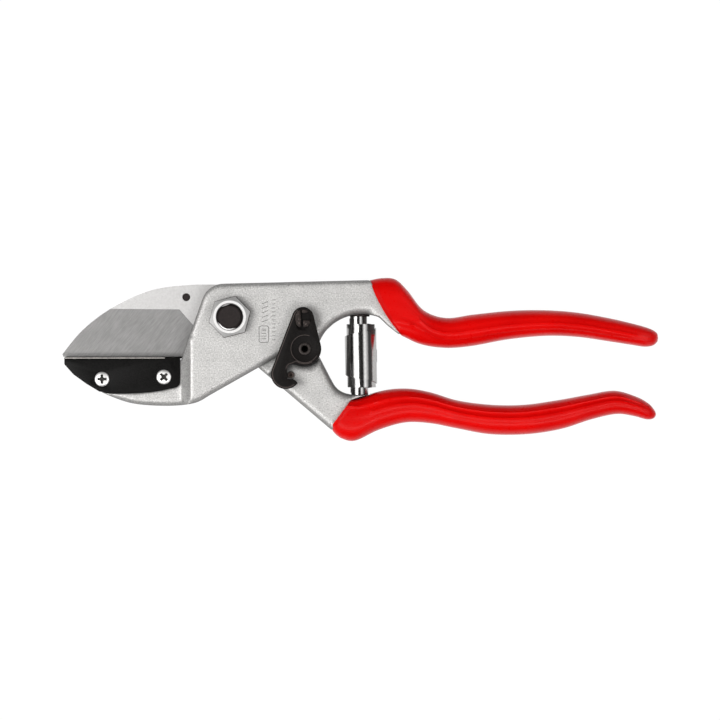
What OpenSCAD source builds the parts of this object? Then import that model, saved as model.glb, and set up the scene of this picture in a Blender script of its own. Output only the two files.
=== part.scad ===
// Anvil pruner, closed and latched, lying flat.
// X runs from the jaw to the grips, Y across the tool and Z up through its thickness.
// The origin is on the pivot axis, on the flat underside of the bolt head.

/* [Pivot] */
// Diameter of the pivot bolt where the blade handle turns on it
bolt_d = 9; // [8.8:0.1:9.2]
// Diameter of the bolt's threaded end
thread_d = 8.4; // [8:0.1:8.6]
// Diameter of the flat bolt head
bolt_head_d = 17; // [15:0.5:18]
// Height of the bolt head
bolt_head_h = 2.6; // [2.2:0.1:2.8]
// Width of the pivot nut across its flats
nut_af = 13.4; // [13:0.1:14]
// Height of the pivot nut
nut_h = 4.6; // [4:0.1:5]
// Radius of the blade and the blade handle around the pivot
hub_r = 12.2; // [11.8:0.1:12.3]

/* [Stack along the pivot] */
// Thickness of each pivot washer's gap
washer_gap = 0.4; // [0.3:0.1:0.5]
// Thickness of the blade handle's head
rear_t = 5; // [4.8:0.1:5]
// Thickness of the blade
blade_t = 3; // [2.8:0.1:3]
// Thickness of the anvil handle's head
front_t = 5.6; // [5.2:0.1:5.8]

/* [Handles] */
// Mid-height of the grips, the tangs and the spring
mid_z = 9; // [8.9:0.1:9.2]
// Depth of the handles where they are bare metal
handle_depth = 15.6; // [15:0.1:15.8]
// Depth of the tangs inside the grips
tang_depth = 12; // [11:0.5:12]
// Distance from a grip's edge to the tang inside it
tang_inset = 2; // [1.9:0.1:2.4]

/* [Anvil] */
// Depth of the black anvil plate
anvil_t = 6.6; // [6.2:0.1:6.8]
// Diameter of the anvil screws' heads
screw_head_d = 5.7; // [5.4:0.1:5.8]
// Diameter of the anvil screws' shanks
screw_d = 3.2; // [3:0.1:3.4]

/* [Latch] */
// Thickness of the latch lever
lever_t = 4.2; // [4:0.1:4.4]
// Diameter of the hollow rivet's shank
rivet_d = 3.8; // [3.6:0.1:3.8]
// Diameter of the lock pin
lock_pin_d = 2.3; // [2.2:0.1:2.4]

/* [Spring] */
// Turns of the rolled strip
spring_turns = 4; // [3.5:0.25:4.25]
// Thickness of the strip
strip_t = 0.45; // [0.4:0.05:0.5]
// Radius of the innermost turn
spring_r0 = 2.9; // [2.8:0.1:3]
// Radius of the outermost turn
spring_r1 = 5.6; // [5.5:0.1:5.7]

/* [Hidden] */
$fn = 96;

play = 0.05;
cut = 1;
bush_r = 6;
front_washer_r = 10;
rear_washer_r = 7.5;
bolt_chamfer = 0.6;
rear_z = bolt_head_h + washer_gap;
blade_z = rear_z + rear_t;
front_z = blade_z + blade_t + washer_gap;
face_z = front_z + front_t;
blade_mid_z = blade_z + blade_t / 2;

// Anvil handle
low_z = face_z - handle_depth;
jaw_back_z = 3.4;
jaw_face_z = 13.4;
jaw_inner_x = -12;
step_top_x = -14.6;
step_foot_x = -18.5;
thick_from_x = 36;
jaw_cut = 60;
jaw_cut_low_y = -40;
jaw_cut_high_y = -7;
head_corner_r = 8.5;
latch_boss_r = 5.6;
screw_floor_z = jaw_back_z + 0.8;
ring_centre = [49.8, -14.5];
ring_rx = 17;
ring_ry = 15.6;

// Blade handle
rear_face_z = 16;
rear_low_z = 1.5;
rear_step_z = front_z - 0.5;
rear_step_r = 25.7;
rear_step_run = 2.8;
blade_pin_at = [-16.6, 7.5];
blade_pin_r = 1.45;
blade_lug_r = 4.2;
pin_floor_z = rear_z + 0.6;
lock_pin_z = mid_z;
latch_clear_r = 6.4;
seat_clear = 1;

// Blade
bevel_top_y = 3.2;
edge_y = -15;
edge_half_t = 0.08;

// Anvil
anvil_z = jaw_face_z - 0.2 - anvil_t;
screw_places = [[-48.3, -23.4, 0], [-25.0, -22.6, 45]];
screw_seat_z = jaw_face_z - 1.2;
screw_top_z = jaw_face_z + 0.3;
cross = [3.2, 0.7, 1.6];

// Latch
latch_at = [28.2, -12.0];
thumb_at = [27.5, -0.4];
hook_at = [21.1, -21.5];
latch_r = 6.2;
thumb_r = 4.1;
hook_r = 5.6;
latch_z = face_z + washer_gap;
latch_top_z = latch_z + lever_t;
dish_r = 5.2;
dish_depth = 0.6;
lock_pin_at = [22.9, -21.8];
latch_washer_r = 4;
rivet_foot_r = 3;
rivet_foot_h = 0.8;
rivet_head_r = 2.3;
rivet_hole_r = 1.2;
pad_depth = 1;
pad_at = [27.5, -0.9];
pad_r = 3;
pad_low_at = [27.4, -2.4];
pad_low_r = 2.6;

// Spring
spring_x = 48.8;
spring_top_y = 0.2;
spring_low_y = -29.4;
seat_r = 3.8;
peg_r = 2.1;
peg_len = 5;
seat_sink = 2.4;
// Shares of the strip's length where it steps down, where the step ends and where its taper starts
step_from = 0.3;
step_to = 0.36;
taper_from = 0.78;
step_depth = 3.1;
strip_slant = 0.5;
tip_half = 0.4;

// Edges of the grips: far edge, near edge and half depth, from the metal to the tip
upper_edges = [
    [[52.7, 13.9], [64.8, -7.1], 8.9], [[57.5, 14.8], [66.5, -7.9], 8.7], [[62.4, 14.2], [70, -9.6], 8.4],
    [[66.9, 10], [74.1, -10.8], 8.2], [[73, 2.6], [79, -11.5], 8.1], [[81.4, -0.3], [84.5, -11.6], 8.3],
    [[92, 1], [92.5, -10.7], 8.6], [[106, 2.4], [105, -8.4], 8.9], [[119, 2.6], [119, -7.1], 8.9],
    [[131, 1.7], [131.2, -7.5], 8.6], [[143, -0.4], [142.5, -9.1], 8.1], [[152.5, -2.6], [151.5, -10.5], 7.4],
    [[158.2, -4.3], [156.5, -11.2], 6.3], [[160.9, -5.9], [159.6, -10.7], 4.4], [[161.5, -7.6], [161.2, -9.3], 1.6]];
lower_edges = [
    [[45.8, -31.1], [38.6, -40.4], 8.9], [[48, -30.8], [39.2, -43], 8.8], [[51, -29.8], [42.2, -45.9], 8.6],
    [[55.5, -28.2], [47.4, -46.8], 8.4], [[61.7, -27.1], [56, -42.6], 8.2], [[68.5, -27.1], [66, -39.8], 8.2],
    [[76, -28.5], [75.5, -40.1], 8.3], [[86, -31.5], [85.5, -42], 8.6], [[98.6, -33.1], [98, -44.2], 8.9],
    [[111, -33.1], [112, -44.2], 8.9], [[124, -31.3], [125, -42.2], 8.6], [[135, -29.3], [136, -38.7], 8.1],
    [[145, -27.8], [145.5, -36.6], 7.6], [[153.2, -30], [152, -37.3], 6.8], [[158, -32.7], [157, -38.6], 5.4],
    [[160.2, -35.3], [159.4, -38.4], 3.4], [[160.7, -36.6], [160.4, -37.6], 1.4]];
tang_pairs = 10;
tang_root = 3;
tang_root_in = 8;

function unit(v) = v / norm(v);
function flat(v) = [v[0], v[1]];

// Arc that rounds the corner at b, between its neighbours a and c
function corner(a, b, c, r, steps = 8) =
    r == 0 ? [flat(b)] :
    let (
        u = unit(flat(a) - flat(b)),
        v = unit(flat(c) - flat(b)),
        half = acos(u * v) / 2,
        centre = flat(b) + unit(u + v) * r / sin(half),
        start = flat(b) + u * r / tan(half) - centre,
        end = flat(b) + v * r / tan(half) - centre,
        first = atan2(start.y, start.x),
        turn = (atan2(end.y, end.x) - first + 540) % 360 - 180
    )
    [for (i = [0:steps]) centre + r * [cos(first + turn * i / steps), sin(first + turn * i / steps)]];

// Outline from corners given as [x, y, radius]
function rounded(c) =
    let (n = len(c))
    [for (i = [0:n - 1]) each corner(c[(i + n - 1) % n], c[i], c[(i + 1) % n], c[i][2])];

function ellipse_arc(centre, rx, ry, from, to, steps) =
    [for (i = [0:steps]) let (a = from + (to - from) * i / steps) centre + [rx * cos(a), ry * sin(a)]];

function between(a, b, c, d, t) =
    0.5 * (2 * b + (c - a) * t + (2 * a - 5 * b + 4 * c - d) * t * t + (3 * b - a - 3 * c + d) * t * t * t);

// Smooth line through the points
function smooth(p, steps) =
    let (last = len(p) - 1)
    [for (i = [0:last - 1]) for (s = [0:steps - 1])
        between(p[max(i - 1, 0)], p[i], p[i + 1], p[min(i + 2, last)], s / steps), p[last]];

// Outline around two circles
function around(a, ra, b, rb, steps = 24) =
    let (
        along = atan2(b.y - a.y, b.x - a.x),
        side = acos((ra - rb) / norm(b - a))
    )
    concat(
        ellipse_arc(b, rb, rb, along - side, along + side, steps),
        ellipse_arc(a, ra, ra, along + side, along + 360 - side, steps));

module plate(points, from_z, to_z) {
    translate([0, 0, from_z]) linear_extrude(to_z - from_z) polygon(points);
}

module pin(at, r, from_z, to_z) {
    translate([at.x, at.y, from_z]) cylinder(h = to_z - from_z, r = r);
}

// Closed solid through rings that all have the same number of points
module loft(rings) {
    n = len(rings[0]);
    last = len(rings) - 1;
    polyhedron(
        points = [for (ring = rings) each ring],
        faces = concat(
            [[for (j = [0:n - 1]) j]],
            [for (i = [0:last - 1]) for (j = [0:n - 1])
                let (k = (j + 1) % n) each
                [[i * n + j, (i + 1) * n + j, (i + 1) * n + k], [i * n + j, (i + 1) * n + k, i * n + k]]],
            [[for (j = [n - 1:-1:0]) last * n + j]]));
}

// Squared-off oval ring of a grip between its two edges
function grip_ring(far, near, half_depth, sides = 20, square = 0.75) =
    let (centre = (far + near) / 2, half = (far - near) / 2)
    [for (i = [0:sides - 1])
        let (
            a = 360 * i / sides,
            c = sign(cos(a)) * pow(abs(cos(a)), square),
            s = sign(sin(a)) * pow(abs(sin(a)), square)
        )
        [centre.x + half.x * c, centre.y + half.y * c, mid_z + half_depth * s]];

module grip(edges) {
    far = smooth([for (e = edges) e[0]], 2);
    near = smooth([for (e = edges) e[1]], 2);
    depth = smooth([for (e = edges) e[2]], 2);
    loft([for (i = [0:len(far) - 1]) grip_ring(far[i], near[i], depth[i])]);
}

module tang(edges) {
    in_far = [for (i = [0:tang_pairs]) edges[i][0] + unit(edges[i][1] - edges[i][0]) * tang_inset];
    in_near = [for (i = [tang_pairs:-1:0]) edges[i][1] + unit(edges[i][0] - edges[i][1]) * tang_inset];
    root_near = edges[0][1] + unit(edges[0][0] - edges[0][1]) * tang_root_in;
    root = [root_near - [tang_root, 0], in_far[0] - [tang_root, 0]];
    plate(concat(in_far, in_near, root), mid_z - tang_depth / 2, mid_z + tang_depth / 2);
}

// Lower silhouette of the jaw, from the head to the nose
jaw_belly = smooth([[-7.7, -29.5], [-13.6, -32.5], [-24.2, -33.5], [-37.7, -32.4], [-49.3, -28.1]], 6);
// Upper rim of the jaw, under the anvil, from the nose to the head
jaw_rim = concat(smooth([[-49.3, -28.1], [-42.9, -28.8], [-30, -28.2], [-22.3, -26.8]], 4),
    corner([-22.3, -26.8], [-19, -26.2], [-18.9, -20], 2));
upper_ring = concat([[64.6, -7.2], [63.1, -6.1], [59.4, -3.2]],
    ellipse_arc(ring_centre, ring_rx, ring_ry, 68, 160, 20));

anvil_outline = [[-62.5, -15.2], [-62.5, -17.8], [-59.1, -21.6], [-54.3, -25.1], each jaw_rim,
    [-18.9, -15.1], [-23.8, -15.1], [-24.2, -15.2]];

module anvil_handle() {
    head = concat(
        corner([-18.9, -17], [-8.4, 12.4], [52.7, 14], head_corner_r),
        [[52.7, 13.9]], upper_ring,
        [[30, -14], [22, -12.65]], jaw_belly,
        [[-18.9, -28.1], [-18.9, -17], [-18.3, -15.4]]);
    jaw = concat([[jaw_inner_x, -16.3], [jaw_inner_x, -31.7]], [for (p = jaw_belly) if (p.x < jaw_inner_x) p],
        [[-54, -24.6], [-58.6, -21.3], [-61.8, -17.8], [-61.8, -16.8]]);
    limb = concat([[thick_from_x, 13.5], [52.7, 13.9]], [for (p = upper_ring) if (p.x > thick_from_x) p]);
    slope = atan2(face_z - jaw_face_z, step_top_x - step_foot_x);
    color([0.84, 0.84, 0.83]) difference() {
        union() {
            difference() {
                union() {
                    plate(head, front_z, face_z);
                    pin(latch_at, latch_boss_r, front_z, face_z);
                }
                translate([step_top_x, jaw_cut_low_y, face_z]) rotate([0, -slope, 0])
                    translate([-jaw_cut, 0, 0]) cube([jaw_cut, jaw_cut_high_y - jaw_cut_low_y, jaw_cut]);
            }
            plate(jaw, jaw_back_z, jaw_face_z);
            plate(limb, low_z, face_z);
            tang(upper_edges);
        }
        plate([each anvil_outline, [-18.9, -10], [-64, -10]], anvil_z, face_z + cut);
        pin([0, 0], bolt_d / 2, front_z - cut, face_z + cut);
        pin(latch_at, rivet_d / 2, front_z - cut, face_z + cut);
        pin(latch_at, rivet_foot_r, front_z - cut, front_z + rivet_foot_h);
        for (s = screw_places) pin(s, screw_d / 2, screw_floor_z, face_z);
        translate([spring_x, spring_top_y, mid_z]) rotate([-90, 0, 0]) cylinder(h = seat_sink, r = seat_r);
    }
}

module upper_grip() {
    color([0.87, 0.06, 0.05]) difference() {
        grip(upper_edges);
        tang(upper_edges);
    }
}

module anvil_blade() {
    color([0.1, 0.1, 0.1]) difference() {
        plate(anvil_outline, anvil_z, anvil_z + anvil_t);
        for (s = screw_places) {
            pin(s, screw_d / 2, 0, face_z);
            pin(s, screw_head_d / 2, screw_seat_z, face_z);
        }
    }
}

module anvil_screws() {
    color([0.85, 0.85, 0.86]) for (s = screw_places) difference() {
        union() {
            pin(s, screw_d / 2, screw_floor_z, screw_seat_z);
            pin(s, screw_head_d / 2, screw_seat_z, screw_top_z);
        }
        translate([s.x, s.y, screw_top_z]) for (a = [0, 90]) rotate([0, 0, s[2] + a])
            cube(cross, center = true);
    }
}

module pivot_bolt() {
    end_z = face_z + nut_h + 0.4;
    color([0.22, 0.18, 0.17]) {
        cylinder(h = bolt_head_h, r = bolt_head_d / 2);
        pin([0, 0], bolt_d / 2, bolt_head_h, face_z);
        pin([0, 0], thread_d / 2, face_z, end_z - bolt_chamfer);
        translate([0, 0, end_z - bolt_chamfer])
            cylinder(h = bolt_chamfer, r1 = thread_d / 2, r2 = thread_d / 2 - bolt_chamfer);
    }
}

module pivot_nut() {
    corner_r = nut_af / 2 / cos(30);
    chamfer = corner_r - nut_af / 2 + 0.4;
    color([0.88, 0.88, 0.9]) translate([0, 0, face_z]) difference() {
        intersection() {
            rotate([0, 0, 14.5]) cylinder(h = nut_h, r = corner_r, $fn = 6);
            union() {
                cylinder(h = nut_h - chamfer / 2, r = corner_r + 0.1);
                translate([0, 0, nut_h - chamfer / 2])
                    cylinder(h = chamfer / 2, r1 = corner_r + 0.1, r2 = corner_r + 0.1 - chamfer);
            }
        }
        translate([0, 0, -cut]) cylinder(h = nut_h + 2 * cut, r = thread_d / 2);
    }
}

module ring_washer(inner_r, outer_r, from_z, to_z) {
    difference() {
        pin([0, 0], outer_r, from_z, to_z);
        pin([0, 0], inner_r, from_z - cut, to_z + cut);
    }
}

module front_friction_washer() {
    color([0.75, 0.6, 0.35]) ring_washer(bolt_d / 2, front_washer_r, blade_z + blade_t + play, front_z);
}

module rear_washer() {
    color([0.7, 0.7, 0.72]) ring_washer(bolt_d / 2, rear_washer_r, bolt_head_h, rear_z - play);
}

// Half height of the strip at a share f of its length, from the inside out
function strip_half(f) =
    let (full = (spring_top_y - spring_low_y) / 2)
    f < step_from ? full :
    f < step_to ? full - (f - step_from) / (step_to - step_from) * step_depth :
    f < taper_from ? full - step_depth - (f - step_to) * strip_slant :
    (full - step_depth - (taper_from - step_to) * strip_slant - tip_half) * (1 - f) / (1 - taper_from) + tip_half;

module return_spring() {
    steps = round(spring_turns * 24);
    mid_y = (spring_top_y + spring_low_y) / 2;
    function ring_at(i) =
        let (
            f = i / steps,
            a = 360 * spring_turns * f,
            r = spring_r0 + (spring_r1 - spring_r0) * f,
            h = strip_half(f),
            out = [cos(a), sin(a)]
        )
        [for (k = [[r, -h], [r, h], [r - strip_t, h], [r - strip_t, -h]])
            [spring_x + k[0] * out.x, mid_y + k[1], mid_z + k[0] * out.y]];
    color([0.8, 0.8, 0.8]) loft([for (i = [0:steps]) ring_at(i)]);
}

// Collar and peg along Y: the collar starts at the metal and the peg points into the spring
module spring_seat(face_y, side) {
    color([0.2, 0.19, 0.19]) translate([spring_x, face_y, mid_z]) rotate([-90 * side, 0, 0]) {
        cylinder(h = seat_sink, r = seat_r);
        translate([0, 0, -peg_len]) cylinder(h = peg_len, r = peg_r);
    }
}

module upper_spring_seat() {
    spring_seat(spring_top_y, 1);
}

module lower_spring_seat() {
    spring_seat(spring_low_y, -1);
}

module latch_rivet() {
    color([0.3, 0.26, 0.24]) difference() {
        union() {
            pin(latch_at, rivet_d / 2, front_z, latch_top_z);
            pin(latch_at, rivet_foot_r, front_z, front_z + rivet_foot_h);
            pin(latch_at, rivet_head_r, latch_top_z - dish_depth + play, latch_top_z);
        }
        pin(latch_at, rivet_hole_r, front_z + 2, latch_top_z + cut);
    }
}

module latch_wave_washer() {
    color([0.7, 0.7, 0.72]) translate([latch_at.x, latch_at.y, 0])
        ring_washer(rivet_d / 2, latch_washer_r, face_z, latch_z - play);
}

// Blade handle from the red sleeve to the ring, with the spring's side of the ring
rear_sleeve_end = [[38.5, -42.8], [45.6, -31.3], [54.2, -28.6]];
rear_ring = smooth([[54.2, -28.3], [50, -29.4], [46, -29.3], [42.5, -28.4], [39.6, -26.2], [36.6, -20.8],
    [33.7, -15.2]], 4);
rear_thick = concat([[-5, -5.85]], rear_sleeve_end, rear_ring, [[24, -8]]);

// Room around the spring's lower seat
module lower_seat_pocket() {
    translate([spring_x, spring_low_y + seat_clear, mid_z]) rotate([90, 0, 0])
        cylinder(h = seat_sink + seat_clear, r = seat_r);
}

module blade_handle() {
    arm = concat([[-5, -5.85], [10.9, -19.4]], rear_sleeve_end, rear_ring,
        corner([33.7, -15.2], [28.2, -4.8], [5, 11], 5));
    color([0.82, 0.82, 0.81]) difference() {
        union() {
            pin([0, 0], hub_r, rear_z, blade_z);
            plate(around([0, 0], hub_r - 2, blade_pin_at, blade_lug_r), rear_z, blade_z);
            plate(arm, rear_z, blade_z);
            difference() {
                plate(arm, rear_low_z, rear_step_z);
                pin([0, 0], hub_r + 1, 0, face_z);
            }
            difference() {
                plate(rear_thick, rear_low_z, rear_face_z);
                pin([0, 0], rear_step_r, 0, rear_step_z);
                translate([0, 0, rear_step_z]) cylinder(h = rear_face_z + 0.1 - rear_step_z,
                    r1 = rear_step_r, r2 = rear_step_r + rear_step_run);
                pin(latch_at, latch_clear_r, rear_step_z, face_z);
            }
            tang(lower_edges);
        }
        pin([0, 0], bush_r, 0, face_z);
        pin(blade_pin_at, blade_pin_r, pin_floor_z, face_z);
        pin(lock_pin_at, lock_pin_d / 2, lock_pin_z, face_z);
        lower_seat_pocket();
    }
}

module lower_grip() {
    color([0.87, 0.06, 0.05]) difference() {
        grip(lower_edges);
        tang(lower_edges);
        plate(rear_thick, rear_low_z, rear_face_z);
        lower_seat_pocket();
    }
}

module cutting_blade() {
    back = smooth([[-63.4, -14], [-55.7, -4.9], [-44.7, 3.4], [-30.1, 10], [-15.6, 12.1], [-3, 12.2]], 5);
    outline = concat([[-62.8, edge_y]], back, [[0, 0], [-9, -12], [-18.4, edge_y]]);
    ground = [[-70, -20], [-70, bevel_top_y], [-19.2, bevel_top_y], [-10, -7.3], [-10, -20]];
    // Cross-section of what each grinding takes off, as [height above the middle, y]
    wedge = [[blade_t / 2, bevel_top_y], [edge_half_t, edge_y], [edge_half_t, -20], [blade_t, -20],
        [blade_t, bevel_top_y]];
    color([0.88, 0.88, 0.88]) difference() {
        union() {
            plate(outline, blade_z, blade_z + blade_t);
            pin([0, 0], hub_r, blade_z, blade_z + blade_t);
        }
        for (side = [0, 1]) intersection() {
            plate(ground, 0, face_z);
            translate([0, 0, blade_mid_z]) mirror([0, 0, side]) translate([-70, 0, 0]) rotate([90, 0, 90])
                linear_extrude(70) polygon([for (w = wedge) [w[1], w[0]]]);
        }
        pin([0, 0], bush_r, 0, face_z);
        pin(blade_pin_at, blade_pin_r, 0, face_z);
    }
}

module blade_pin() {
    color([0.2, 0.17, 0.16]) pin(blade_pin_at, blade_pin_r, pin_floor_z, blade_z + blade_t - 0.3);
}

module pivot_bush() {
    color([0.75, 0.6, 0.35]) ring_washer(bolt_d / 2 + play, bush_r, rear_z, blade_z + blade_t);
}

module lock_pin() {
    color([0.35, 0.3, 0.28]) pin(lock_pin_at, lock_pin_d / 2, lock_pin_z, latch_z - 0.2);
}

module latch_lever() {
    mouth = rounded([[21.55, -17.9, 2], [21.55, -23.5, 1], [23.7, -23.3, 0.3], [24.9, -24.1, 0], [27.5, -27, 0],
        [36, -27, 0], [36, -17.9, 0]]);
    pad = around(pad_at, pad_r, pad_low_at, pad_low_r);
    color([0.14, 0.12, 0.12]) difference() {
        union() {
            difference() {
                plate(around(thumb_at, thumb_r, hook_at, hook_r), latch_z, latch_top_z);
                plate(mouth, 0, latch_top_z + cut);
            }
            plate(around(thumb_at, thumb_r, latch_at, latch_r), latch_z, latch_top_z);
        }
        pin(latch_at, dish_r, latch_top_z - dish_depth, latch_top_z + cut);
        pin(latch_at, rivet_d / 2 + play, 0, latch_top_z + cut);
        plate(pad, latch_top_z - pad_depth, latch_top_z + cut);
    }
}

anvil_handle();
upper_grip();
anvil_blade();
anvil_screws();
pivot_bolt();
pivot_nut();
front_friction_washer();
rear_washer();
return_spring();
upper_spring_seat();
latch_rivet();
latch_wave_washer();
blade_handle();
lower_grip();
cutting_blade();
blade_pin();
pivot_bush();
lower_spring_seat();
lock_pin();
latch_lever();
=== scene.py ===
"""Anvil pruner lying closed and latched on a white floor, seen from straight above.

Lengths are millimetres in the CAD frame, apart from the lights and the camera. MM turns them into metres.
"""

import math

import bmesh
import bpy
import numpy as np
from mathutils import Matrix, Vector


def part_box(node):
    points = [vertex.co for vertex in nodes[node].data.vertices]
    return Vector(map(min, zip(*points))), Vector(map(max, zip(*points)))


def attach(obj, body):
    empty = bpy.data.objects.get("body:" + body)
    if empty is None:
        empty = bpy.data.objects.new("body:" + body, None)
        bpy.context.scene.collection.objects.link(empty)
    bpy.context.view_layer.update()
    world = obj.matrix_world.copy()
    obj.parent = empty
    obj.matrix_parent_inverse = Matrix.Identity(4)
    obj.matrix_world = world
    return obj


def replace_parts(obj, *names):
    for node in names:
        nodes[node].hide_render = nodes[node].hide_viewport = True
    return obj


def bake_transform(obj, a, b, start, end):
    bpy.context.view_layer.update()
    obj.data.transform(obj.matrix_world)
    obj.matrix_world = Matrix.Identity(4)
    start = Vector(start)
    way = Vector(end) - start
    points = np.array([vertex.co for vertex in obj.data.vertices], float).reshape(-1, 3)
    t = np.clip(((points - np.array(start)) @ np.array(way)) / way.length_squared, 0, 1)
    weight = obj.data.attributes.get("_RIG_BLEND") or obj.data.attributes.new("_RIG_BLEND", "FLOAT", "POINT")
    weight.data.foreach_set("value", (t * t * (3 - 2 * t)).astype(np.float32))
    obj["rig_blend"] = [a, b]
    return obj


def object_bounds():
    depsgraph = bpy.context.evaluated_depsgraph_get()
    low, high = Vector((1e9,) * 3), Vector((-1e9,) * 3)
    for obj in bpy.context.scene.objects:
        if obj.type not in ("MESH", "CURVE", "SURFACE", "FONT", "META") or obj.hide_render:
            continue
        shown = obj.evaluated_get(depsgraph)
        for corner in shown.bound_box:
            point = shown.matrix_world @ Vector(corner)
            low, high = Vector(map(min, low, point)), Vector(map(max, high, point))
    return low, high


MM = 0.001
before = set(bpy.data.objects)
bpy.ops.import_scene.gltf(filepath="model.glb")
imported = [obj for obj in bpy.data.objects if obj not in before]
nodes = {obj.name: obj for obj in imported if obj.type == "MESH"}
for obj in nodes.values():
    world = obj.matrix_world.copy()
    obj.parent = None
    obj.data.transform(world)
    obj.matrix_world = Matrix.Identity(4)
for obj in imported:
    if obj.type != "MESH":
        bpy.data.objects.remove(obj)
cad_low, cad_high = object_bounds()
scene = bpy.context.scene
ANVIL_SIDE, BLADE_SIDE, LATCH = "anvil_side", "blade_side", "latch"


# ---------------------------------------------------------------- places from the frame


def middle(node):
    low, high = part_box(node)
    return (low + high) / 2 / MM


def top(node):
    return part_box(node)[1].z / MM


def bottom(node):
    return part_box(node)[0].z / MM


def width(node, axis):
    low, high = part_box(node)
    return (high[axis] - low[axis]) / MM


FACE_Z = bottom("pivot_nut")
GRIP_Z = middle("upper_spring_seat").z
LATCH_AT = middle("latch_rivet")
LOCK_PIN_AT = middle("lock_pin")
SPRING_X = middle("upper_spring_seat").x
SCREWS_AT = [(-48.3, -23.4, 0), (-25.0, -22.6, 45)]


# ---------------------------------------------------------------- mesh helpers


def piece(name, points, faces, material, body, *stands_for, smooth=True):
    """A new mesh piece from points in millimetres, riding on a CAD body."""
    mesh = bpy.data.meshes.new(name)
    mesh.from_pydata([tuple(float(v) * MM for v in p) for p in points], [], faces)
    mesh.validate()
    obj = bpy.data.objects.new(name, mesh)
    scene.collection.objects.link(obj)
    return finish_piece(obj, material, body, stands_for, smooth)


def finish_piece(obj, material, body, stands_for, smooth=True):
    """Gives a mesh its material and shading, the body it rides on and the CAD nodes it stands for."""
    if material:
        obj.data.materials.clear()
        obj.data.materials.append(material)
    for polygon in obj.data.polygons:
        polygon.use_smooth = smooth
    if body:
        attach(obj, body)
    if stands_for:
        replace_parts(obj, *stands_for)
    return obj


def apply_modifiers(obj):
    """Puts the result of the object's modifiers into its mesh."""
    graph = bpy.context.evaluated_depsgraph_get()
    mesh = bpy.data.meshes.new_from_object(obj.evaluated_get(graph))
    obj.modifiers.clear()
    old = obj.data
    obj.data = mesh
    bpy.data.meshes.remove(old)
    return obj


def node_copy(node, name):
    """A welded copy of a CAD node's mesh, as a piece that is still without a body."""
    obj = bpy.data.objects.new(name, nodes[node].data.copy())
    scene.collection.objects.link(obj)
    work = bmesh.new()
    work.from_mesh(obj.data)
    bmesh.ops.remove_doubles(work, verts=work.verts, dist=0.001 * MM)
    work.to_mesh(obj.data)
    work.free()
    return obj


def flatten_faces(obj):
    """Joins the triangles of each flat face into one polygon."""
    flat_within = math.radians(0.5)
    work = bmesh.new()
    work.from_mesh(obj.data)
    bmesh.ops.dissolve_limit(
        work, angle_limit=flat_within, verts=work.verts, edges=work.edges
    )
    work.to_mesh(obj.data)
    work.free()
    return obj


def bevelled(obj, edge_width, segments=3, angle=30):
    bevel = obj.modifiers.new("edges", "BEVEL")
    bevel.width = edge_width * MM
    bevel.segments = segments
    bevel.limit_method = "ANGLE"
    bevel.angle_limit = math.radians(angle)
    bevel.harden_normals = False
    return apply_modifiers(obj)


def smooth_by_angle(obj, angle=35):
    """Shades smooth, with a crease wherever two faces meet at more than the angle."""
    work = bmesh.new()
    work.from_mesh(obj.data)
    for edge in work.edges:
        sharp = len(edge.link_faces) == 2 and edge.calc_face_angle(0) > math.radians(angle)
        edge.smooth = not sharp
    for face in work.faces:
        face.smooth = True
    work.to_mesh(obj.data)
    work.free()
    return obj


def voxel_remesh(obj, size):
    remesh = obj.modifiers.new("remesh", "REMESH")
    remesh.mode = "VOXEL"
    remesh.voxel_size = size * MM
    return apply_modifiers(obj)


def relax(obj, rounds):
    """Smooths the mesh by moving each point half way to its neighbours' middle, a few times over."""
    work = bmesh.new()
    work.from_mesh(obj.data)
    for _ in range(rounds):
        bmesh.ops.smooth_vert(
            work, verts=work.verts, factor=0.5, use_axis_x=True, use_axis_y=True, use_axis_z=True
        )
    work.to_mesh(obj.data)
    work.free()
    return obj


def lathe(profile, segments=64):
    """Points and faces of a solid turned about Z, from a closed outline of (radius, z)."""
    count = len(profile)
    points = []
    for step in range(segments):
        a = 2 * math.pi * step / segments
        points += [(r * math.cos(a), r * math.sin(a), z) for r, z in profile]
    faces = []
    for step in range(segments):
        here, there = step * count, (step + 1) % segments * count
        for k in range(count):
            j = (k + 1) % count
            faces.append((here + k, there + k, there + j, here + j))
    return points, faces


def turned(name, profile, place, material, body, *stands_for, along="z", segments=64):
    """A turned piece at a place. along is z, or y where its axis lies across the tool."""
    points, faces = lathe(profile, segments)
    if along == "y":
        points = [(x, z, -y) for x, y, z in points]
    points = [(p[0] + place[0], p[1] + place[1], p[2] + place[2]) for p in points]
    obj = piece(name, points, faces, material, None)
    work = bmesh.new()
    work.from_mesh(obj.data)
    bmesh.ops.remove_doubles(work, verts=work.verts, dist=0.001 * MM)
    bmesh.ops.dissolve_degenerate(work, edges=work.edges, dist=0.0005 * MM)
    bmesh.ops.recalc_face_normals(work, faces=work.faces)
    work.to_mesh(obj.data)
    work.free()
    smooth_by_angle(obj)
    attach(obj, body)
    if stands_for:
        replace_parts(obj, *stands_for)
    return obj


def prism(name, outline, low, high):
    """An upright solid from an outline in millimetres."""
    n = len(outline)
    points = [(x, y, low) for x, y in outline] + [(x, y, high) for x, y in outline]
    faces = [tuple(range(n)), tuple(range(n, 2 * n))]
    faces += [(k, (k + 1) % n, n + (k + 1) % n, n + k) for k in range(n)]
    obj = piece(name, points, faces, None, None)
    outward(obj)
    return obj


def outward(obj):
    work = bmesh.new()
    work.from_mesh(obj.data)
    bmesh.ops.recalc_face_normals(work, faces=work.faces)
    work.to_mesh(obj.data)
    work.free()
    return obj


def arc(x, y, radius, start, end, steps):
    angles = np.radians(np.linspace(start, end, steps))
    return [(x + radius * math.cos(a), y + radius * math.sin(a)) for a in angles]


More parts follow.
